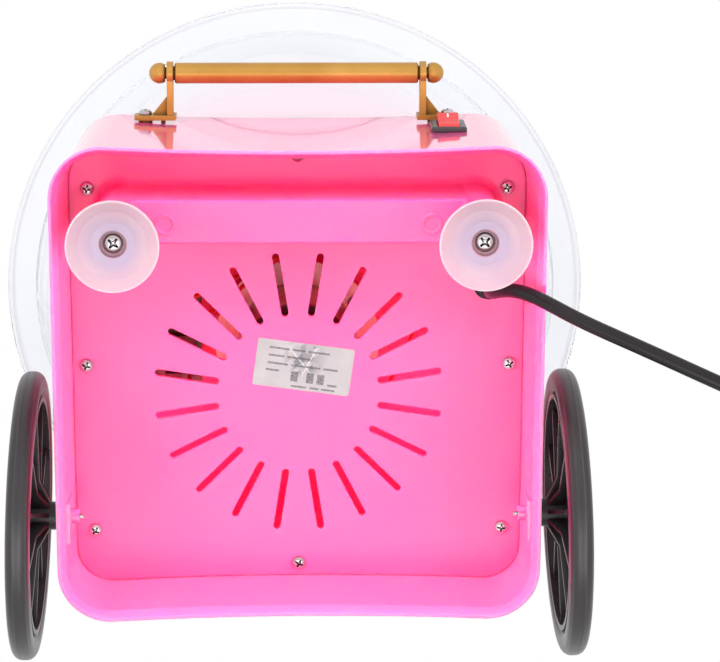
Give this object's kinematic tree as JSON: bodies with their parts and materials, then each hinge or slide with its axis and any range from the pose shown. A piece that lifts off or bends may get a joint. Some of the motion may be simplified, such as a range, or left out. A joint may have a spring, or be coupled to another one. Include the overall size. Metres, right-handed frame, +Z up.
{
  "type": "cotton candy machine",
  "caption": "Square moulded cotton candy machine on two spoked wheels and suction feet, with a clear bowl, spinning sugar head, handle and rocker switch.",
  "frame": {"origin": "on the floor, straight under the motor axis, which is also the bowl's axis", "axes": "+Z up along the motor axis, -Y towards the front with the handle and the switch, +X towards the side where the mains cord leaves"},
  "size_m": [0.4213, 0.2876, 0.2468],
  "materials": {
    "pink_plastic": "glossy moulded",
    "pink_base": "satin moulded",
    "cup_vinyl": "milky translucent",
    "black_wheel": "satin moulded",
    "black_tyre": "satin",
    "gold_paint": "satin gold",
    "screw_steel": "bright plated",
    "axle_steel": "plain",
    "black_plastic": "satin moulded",
    "red_plastic": "glossy moulded",
    "clear_plastic": "clear, slightly milky",
    "head_aluminium": "spun",
    "steel_sheet": "plain",
    "ceramic_white": "unglazed",
    "heater_wire": "dull resistance wire",
    "magnet_black": "sintered",
    "carbon": "carbon block",
    "copper": "bare metal",
    "bronze": "sintered",
    "rubber_grey": "soft",
    "board_green": "resin board",
    "wire_red": "insulation",
    "black_cord": "smooth sheath",
    "label_foil": "foil sticker",
    "nylon_white": "moulded"
  },
  "bodies": {
    "root": {"body_shell": "pink_plastic", "base_plate": "pink_base", "base_screws": "screw_steel", "foot_screws": "screw_steel", "rating_label": "label_foil", "suction_cup_left": "cup_vinyl", "suction_cup_right": "cup_vinyl", "axles": "axle_steel", "axle_washers": "axle_steel", "handle_bracket_left": "gold_paint", "handle_bracket_right": "gold_paint", "handle_finial_left": "gold_paint", "handle_finial_right": "gold_paint", "handle_bar": "gold_paint", "handle_screws": "screw_steel", "switch_housing": "black_plastic", "switch_terminals": "copper", "heat_dish": "head_aluminium", "heater_posts": "ceramic_white", "heater_ring": "ceramic_white", "heating_coil": "heater_wire", "heater_studs": "axle_steel", "motor_can": "steel_sheet", "motor_end_cap": "black_plastic", "motor_bushings": "bronze", "motor_magnets": "magnet_black", "motor_brushes": "carbon", "motor_bracket": "steel_sheet", "motor_dampers": "rubber_grey", "motor_screws": "axle_steel", "rectifier_board": "board_green", "board_parts": "black_plastic", "board_screws": "axle_steel", "terminal_block": "nylon_white", "thermal_fuse": "nylon_white", "wiring": "wire_red", "inner_lead": "black_cord", "cord_grip": "black_plastic", "cord_tube": "black_cord", "cord_coil": "black_cord", "plug_body": "black_cord", "plug_pins": "screw_steel"},
    "rotor": {"motor_shaft": "axle_steel", "drive_collar": "bronze", "armature": "steel_sheet", "commutator": "copper", "cooling_fan": "nylon_white"},
    "head": {"sugar_head": "head_aluminium", "head_band": "head_aluminium", "head_cover": "head_aluminium", "head_rivets": "axle_steel"},
    "bowl": {"bowl": "clear_plastic"},
    "wheel_left": {"wheel_left": "black_wheel", "tyre_left": "black_tyre", "hub_cap_left": "black_wheel"},
    "wheel_right": {"wheel_right": "black_wheel", "tyre_right": "black_tyre", "hub_cap_right": "black_wheel"},
    "rocker": {"rocker": "red_plastic"}
  },
  "joints": [
    {"name": "head_spin", "type": "hinge", "parent": "root", "child": "rotor", "pos_m": [0, 0, 0.12], "axis": [0, 0, 1], "continuous": true},
    {"name": "head_lift", "type": "slide", "parent": "rotor", "child": "head", "axis": [0, 0, 1], "range_m": [0, 0.012]},
    {"name": "bowl_lift", "type": "slide", "parent": "root", "child": "bowl", "axis": [0, 0, 1], "range_m": [0, 0.08]},
    {"name": "wheel_left_roll", "type": "hinge", "parent": "root", "child": "wheel_left", "pos_m": [-0.1182, 0.0591, 0.0632], "axis": [-0.9996, -0.0297, 0], "continuous": true},
    {"name": "wheel_right_roll", "type": "hinge", "parent": "root", "child": "wheel_right", "pos_m": [0.1182, 0.0591, 0.0632], "axis": [0.9996, -0.0297, 0], "continuous": true},
    {"name": "power_rocker", "type": "hinge", "parent": "root", "child": "rocker", "pos_m": [0.0668, -0.10391, 0.1086], "axis": [-1, 0, 0], "range_deg": [0, 20]}
  ]
}
